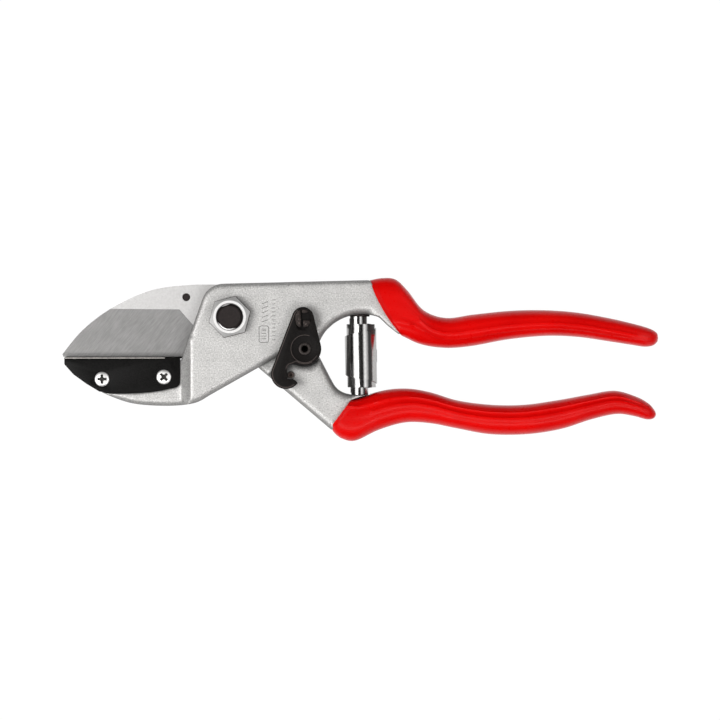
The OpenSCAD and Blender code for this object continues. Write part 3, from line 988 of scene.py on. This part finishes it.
def pivot_bolt():
    """Bolt with a flat head below, and a threaded end above with two bright arcs on its rim where the thread
    shows; their brightness is a painted highlight on the dark steel.
    """
    end = top("pivot_bolt")
    head_r = width("pivot_bolt", 0) / 2
    profile = [
        (0, 0), (head_r - 1.2, 0), (head_r - 0.4, 0.25), (head_r, 0.9), (head_r, 2.4),
        (head_r - 0.2, 2.6), (4.5, 2.6), (4.5, FACE_Z), (4.9, FACE_Z + 0.2), (4.9, end - 1.1),
        (4.6, end - 0.8), (4.75, end - 0.6), (4.2, end - 0.15), (4.05, end), (0, end - 0.04),
    ]
    turned("flat_head_bolt", profile, (0, 0, 0), BOLT_METAL, ANVIL_SIDE, "pivot_bolt", segments=96)
    rim = 4.95
    # Two raised arcs at the thread's rim in bright metal: painted highlights on the dark bolt end.
    for name, start, stop, wide in (("lower", 203, 302, 0.8), ("upper", 88, 130, 0.5)):
        inner, outer = [], []
        for t in np.linspace(0, 1, 25):
            a = math.radians(start + (stop - start) * t)
            r = rim - 0.02 - wide * math.sin(math.pi * t) ** 0.6
            inner.append((r * math.cos(a), r * math.sin(a), end - 0.3))
            outer.append((rim * math.cos(a), rim * math.sin(a), end - 0.55))
        n = len(inner)
        points = inner + outer + [(x, y, z - 0.4) for x, y, z in inner + outer]
        faces = []
        for k in range(n - 1):
            faces += [
                (k, k + 1, n + k + 1, n + k), (2 * n + k, 3 * n + k, 3 * n + k + 1, 2 * n + k + 1),
                (k, 2 * n + k, 2 * n + k + 1, k + 1), (n + k, n + k + 1, 3 * n + k + 1, 3 * n + k),
            ]
        faces += [(0, n, 3 * n, 2 * n), (n - 1, 3 * n - 1, 4 * n - 1, 2 * n - 1)]
        obj = outward(piece(f"{name}_thread_highlight_arc", points, faces, NUT_METAL, None))
        smooth_by_angle(obj)
        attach(obj, ANVIL_SIDE)


pivot_nut()
pivot_bolt()


# ---------------------------------------------------------------- latch


THUMB_AT, HOOK_AT = (27.5, -0.4), (21.1, -21.5)
THUMB_R, HOOK_R = 4.1, 5.6


def latch_lever():
    """Moulded lever: softened edges, a thumb recess with two pads, a dished boss, and fine raised lines in a
    lighter colour that are painted highlights on its edges.
    """
    obj = flatten_faces(node_copy("latch_lever", "moulded_latch"))
    bevelled(obj, 0.45, 4, 45)
    high = top("latch_lever")
    thumb = arc(27.6, -0.5, 3.2, -20, 200, 40) + arc(27.2, -2.0, 2.5, 200, 340, 24)
    cut_out(obj, prism("cutter", thumb, high - 1.5, high + 1))
    smooth_by_angle(obj, 40)
    finish_piece(obj, LATCH_BLACK, LATCH, ["latch_lever"])
    left_pad = [
        (24.5, 0.3), (24.9, 1.9), (25.9, 2.75), (26.5, 2.85), (26.9, -3.4), (26.1, -3.9), (25.1, -3.0),
        (24.6, -1.2),
    ]
    low_pad = [(27.6, -1.3), (30.3, -1.3), (30.1, -2.6), (29.3, -3.6), (27.7, -3.9)]
    top_pad = [(27.0, 2.9), (29.1, 2.5), (29.7, 1.9), (28.0, 1.35), (27.2, 1.5)]
    for name, outline, rise in (("left", left_pad, 0.15), ("low", low_pad, 0.55), ("top", top_pad, 0.3)):
        pad = prism(f"{name}_thumb_pad", outline, high - 1.6, high - rise)
        bevelled(pad, 0.25, 3, 30)
        smooth_by_angle(pad)
        finish_piece(pad, PAD, LATCH, [])
    # A raised line in a lighter colour follows the lever's left side and goes round the hook: painted
    # highlight on the rounded edge.
    down = math.degrees(math.atan2(HOOK_AT[1] - THUMB_AT[1], HOOK_AT[0] - THUMB_AT[0]))
    lean = math.degrees(math.asin((HOOK_R - THUMB_R) / math.dist(THUMB_AT, HOOK_AT)))
    first = down - 90 - lean
    inset = 0.62
    line = arc(*THUMB_AT, THUMB_R - inset, first - 35, first, 8)
    line += arc(*HOOK_AT, HOOK_R - inset, first, first + 150, 40)
    raised_line("latch_edge_highlight_line", line, 0.2, high - 0.1, high + 0.03, LATCH_EDGE_HIGHLIGHT, LATCH)
    # The mouth line and the dish line are in the same lighter colour: painted highlights.
    mouth = arc(23.6, -19.75, 2.45, 178, 95, 12)
    mouth += arc(LATCH_AT.x, LATCH_AT.y, 6.2 - inset, 235, 300, 12)
    raised_line("latch_mouth_highlight_line", mouth, 0.17, high - 0.1, high + 0.03, LATCH_EDGE_HIGHLIGHT, LATCH)
    boss = (LATCH_AT.x, LATCH_AT.y)
    ring_band("latch_dish_highlight_line", boss, 5.2, 0.14, high - 0.2, high + 0.03, LATCH_EDGE_HIGHLIGHT, LATCH, 70, 330)


def latch_rivet():
    """Hollow rivet with a rolled rim."""
    high = top("latch_rivet")
    low = bottom("latch_rivet")
    profile = [
        (1.2, low + 2), (1.2, high - 0.35), (1.5, high - 0.05), (1.9, high), (2.2, high - 0.15),
        (2.3, high - 0.45), (1.9, high - 0.55), (1.9, low + 0.8), (3.0, low + 0.8), (3.0, low),
        (0, low), (0, low + 2),
    ]
    place = (LATCH_AT.x, LATCH_AT.y, 0)
    return turned("hollow_rivet", profile, place, RIVET_METAL, ANVIL_SIDE, "latch_rivet")


def lock_pin():
    """Pin with a small centre hole, which the latch closes over."""
    high, low = top("lock_pin"), bottom("lock_pin")
    r = width("lock_pin", 0) / 2
    profile = [
        (0, low), (r, low), (r, high - 0.15), (r - 0.15, high), (0.6, high), (0.55, high - 0.1),
        (0.55, high - 1.2), (0, high - 1.2),
    ]
    place = (LOCK_PIN_AT.x, LOCK_PIN_AT.y, 0)
    return turned("latch_lock_pin", profile, place, PIN_METAL, BLADE_SIDE, "lock_pin")


latch_lever()
latch_rivet()
lock_pin()


# ---------------------------------------------------------------- spring


def volute_spring():
    """Strip rolled round itself: full width inside, drawn to a point outside."""
    low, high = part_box("return_spring")
    middle_y = (low.y + high.y) / 2 / MM
    full = (high.y - low.y) / 2 / MM
    # Turn from the outer tip in degrees, radius and half height
    stations = [
        (0, 6.15, 2.3, 49.2), (90, 6.1, 4.9, 49.25), (180, 6.0, 7.1, 49.3), (270, 5.9, 8.9, 49.4),
        (360, 5.75, 10.3, 49.5), (450, 5.6, 11.9, 49.5), (630, 5.4, 11.9, 49.5), (810, 5.2, 11.9, 49.45),
        (960, 4.8, 11.9, 49.3), (1080, 4.3, 12.0, 49.1), (1170, 3.9, 12.4, 48.9), (1250, 3.6, 13.4, 48.7),
        (1310, 3.4, full, 48.55), (1500, 3.25, full, 48.55), (1860, 2.9, full, 48.55),
    ]
    turn, radius, half, middle_x = (np.array(c, float) for c in zip(*stations))
    along = np.arange(0, turn[-1] + 1, 7.5)
    r = np.interp(along, turn, radius)
    h = np.interp(along, turn, half)
    centre_x = np.interp(along, turn, middle_x)
    a = np.radians(-along)
    thickness, lean = 0.4, 0.017
    rows = 15
    rings = []
    for k in range(len(along)):
        out = np.array([math.cos(a[k]), math.sin(a[k])])
        ring = []
        for side, order in ((0, range(rows)), (thickness, range(rows - 1, -1, -1))):
            for row in order:
                y = h[k] * (2 * row / (rows - 1) - 1)
                place = out * (r[k] - side)
                ring.append((centre_x[k] + place[0] - lean * y, middle_y + y, GRIP_Z + place[1]))
        rings.append(ring)
    count = 2 * rows
    faces = [
        (
            k * count + j,
            k * count + (j + 1) % count,
            (k + 1) * count + (j + 1) % count,
            (k + 1) * count + j,
        )
        for k in range(len(rings) - 1)
        for j in range(count)
    ]
    for base, order in ((0, 1), ((len(rings) - 1) * count, -1)):
        for row in range(rows - 1):
            quad = (base + row, base + row + 1, base + count - 2 - row, base + count - 1 - row)
            faces.append(quad[::order])
    obj = piece("rolled_spring", [p for ring in rings for p in ring], faces, CHROME, None)
    work = bmesh.new()
    work.from_mesh(obj.data)
    bmesh.ops.recalc_face_normals(work, faces=work.faces)
    work.to_mesh(obj.data)
    work.free()
    smooth_by_angle(obj, 40)
    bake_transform(obj, ANVIL_SIDE, BLADE_SIDE, start=(0, high.y, 0), end=(0, low.y, 0))
    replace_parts(obj, "return_spring")
    # The inner turns stretch from end to end, and the outer ones take a smaller share of it
    held = obj.data.attributes["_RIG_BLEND"].data
    weight = np.zeros(len(held), np.float32)
    held.foreach_get("value", weight)
    inner_r, outer_r, outer_share = 3.5, 4.9, 0.5
    outer = np.repeat(np.clip((r - inner_r) / (outer_r - inner_r), 0, 1), count)
    stretch = 1 - (1 - outer_share) * outer
    held.foreach_set("value", (0.5 + (weight - 0.5) * stretch).astype(np.float32))
    return obj


def spring_seat(node, name, side, body):
    """Collar and peg at one end of the spring. side is 1 at the anvil handle and -1 at the blade handle."""
    low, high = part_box(node)
    collar_y = (high.y if side > 0 else low.y) / MM
    depth, collar, peg = 2.4, 3.8, 2.1
    length = (high.y - low.y) / MM
    profile = [
        (0, 0), (collar, 0), (collar, -depth + 0.2), (collar - 0.2, -depth), (peg, -depth),
        (peg, -length + 0.5), (peg - 0.5, -length), (0, -length),
    ]
    flipped = [(r, z * side) for r, z in profile]
    return turned(name, flipped, (SPRING_X, collar_y, GRIP_Z), BOLT_METAL, body, node, along="y")


volute_spring()
spring_seat("upper_spring_seat", "upper_collar", 1, ANVIL_SIDE)
spring_seat("lower_spring_seat", "lower_collar", -1, BLADE_SIDE)


# ---------------------------------------------------------------- plain mark


def plain_mark():
    """A stamped panel with plain bars in place of lettering."""
    relief = 0.015
    face = FACE_Z + relief
    left, right, low, high, r = 11.0, 14.6, -9.6, -3.4, 0.8
    frame_line = (
        arc(right - r, high - r, r, 0, 90, 6) + arc(left + r, high - r, r, 90, 180, 6)
        + arc(left + r, low + r, r, 180, 270, 6) + arc(right - r, low + r, r, 270, 360, 6)
    )
    raised_line("mark_panel", frame_line, 0.16, face - 0.1, face, STAMPED, ANVIL_SIDE, closed=True)
    # Bars inside the panel, slanted ones beyond it, and a column of short ones beside both
    bars = [((12.0, y), (13.7, y)) for y in (-8.2, -7.2, -6.2, -5.2, -4.6)]
    bars += [((12.0, y), (14.4, y + 0.9)) for y in (-1.9, -0.2, 1.5, 3.2, 4.9)]
    bars += [((15.9, y), (17.2, y)) for y in np.arange(-8.6, 6.6, 1.5)]
    for number, (start, end) in enumerate(bars):
        raised_line(f"mark_bar_{number}", [start, end], 0.14, face - 0.1, face, STAMPED, ANVIL_SIDE)


plain_mark()


# ---------------------------------------------------------------- hidden CAD parts

for node, material in (
    ("front_friction_washer", BRONZE),
    ("pivot_bush", BRONZE),
    ("rear_washer", WASHER_METAL),
    ("latch_wave_washer", WASHER_METAL),
    ("blade_pin", BOLT_METAL),
):
    nodes[node].data.materials.clear()
    nodes[node].data.materials.append(material)


# ---------------------------------------------------------------- floor, light and camera


def floor():
    mesh = bpy.data.meshes.new("floor")
    half, z = 1.5, cad_low.z - 0.0002
    mesh.from_pydata(
        [(-half, -half, z), (half, -half, z), (half, half, z), (-half, half, z)], [], [(0, 1, 2, 3)]
    )
    obj = bpy.data.objects.new("floor", mesh)
    scene.collection.objects.link(obj)
    mesh.materials.append(floor_white())


# Brightness of the tent along -X to +X, -Y to +Y and from below to above, each from 0 to 1
TENT_ACROSS = [
    (0.0, 0.7), (0.1, 0.65), (0.15, 0.6), (0.22, 0.65), (0.26, 1.35), (0.305, 1.4), (0.325, 0.02),
    (0.69, 0.02), (0.71, 1.4), (0.78, 1.35), (0.83, 0.85), (0.91, 0.7), (0.95, 0.4), (1.0, 0.35),
]
TENT_ALONG = [(0.0, 0.9), (0.3, 1.1), (0.6, 1.0), (0.8, 0.5), (1.0, 0.2)]
TENT_UPWARD = [(0.0, 0.25), (0.5, 0.35), (0.65, 0.5), (0.8, 1.0), (1.0, 1.15)]


def studio():
    """Bright overhead tent that falls off to the horizon, with a dark strip overhead between two bright ones.

    The strips put bands on the polished spring. They run along Y, like its axis.
    """
    world = bpy.data.worlds.new("studio")
    scene.world = world
    world.use_nodes = True
    tree = world.node_tree
    place = tree.nodes.new("ShaderNodeTexCoord")
    split = tree.nodes.new("ShaderNodeSeparateXYZ")
    tree.links.new(place.outputs["Generated"], split.inputs["Vector"])

    def graded(axis, stops):
        shift = tree.nodes.new("ShaderNodeMath")
        shift.operation = "MULTIPLY_ADD"
        shift.inputs[1].default_value = 0.5
        shift.inputs[2].default_value = 0.5
        tree.links.new(split.outputs[axis], shift.inputs[0])
        ramp = tree.nodes.new("ShaderNodeValToRGB")
        elements = ramp.color_ramp.elements
        while len(elements) < len(stops):
            elements.new(0.5)
        for element, (position, grey) in zip(elements, stops):
            element.position = position
            element.color = (grey, grey, grey, 1)
        tree.links.new(shift.outputs[0], ramp.inputs["Fac"])
        return ramp.outputs["Color"]

    tone = graded("X", TENT_ACROSS)
    for axis, stops in (("Y", TENT_ALONG), ("Z", TENT_UPWARD)):
        both = tree.nodes.new("ShaderNodeMix")
        both.data_type = "RGBA"
        both.blend_type = "MULTIPLY"
        both.inputs["Factor"].default_value = 1.0
        tree.links.new(tone, both.inputs[6])
        tree.links.new(graded(axis, stops), both.inputs[7])
        tone = both.outputs[2]
    background = tree.nodes["Background"]
    background.inputs["Strength"].default_value = 0.88
    tree.links.new(tone, background.inputs["Color"])


def lamp(name, place, size, watts, aim):
    light = bpy.data.lights.new(name, "AREA")
    light.shape = "RECTANGLE"
    light.size, light.size_y = size
    light.energy = watts
    obj = bpy.data.objects.new(name, light)
    scene.collection.objects.link(obj)
    obj.location = place
    obj.rotation_euler = (Vector(aim) - Vector(place)).to_track_quat("-Z", "Y").to_euler()
    return obj


def camera():
    """Straight down from two metres with a long lens."""
    data = bpy.data.cameras.new("camera")
    obj = bpy.data.objects.new("camera", data)
    scene.collection.objects.link(obj)
    height, seen_width = 2.0, 0.2711
    seen_at_z = GRIP_Z * MM + 0.006
    data.sensor_width = 36
    data.lens = data.sensor_width * (height - seen_at_z) / seen_width
    data.clip_end = 10
    centre_x, centre_y = 0.04895, -0.0162
    obj.location = (centre_x, centre_y, height)
    scene.camera = obj


floor()
studio()
lamp("key", (-0.5, -0.1, 0.75), (0.4, 0.6), 5.8, (0.0, 0, 0))
lamp("fill", (0.6, 0.0, 0.8), (0.4, 0.6), 1.6, (0.05, 0, 0))
lamp("strip", (0.05, -0.42, 0.8), (1.0, 0.12), 2.4, (0.05, 0, 0))
camera()
scene.view_settings.view_transform = "Standard"
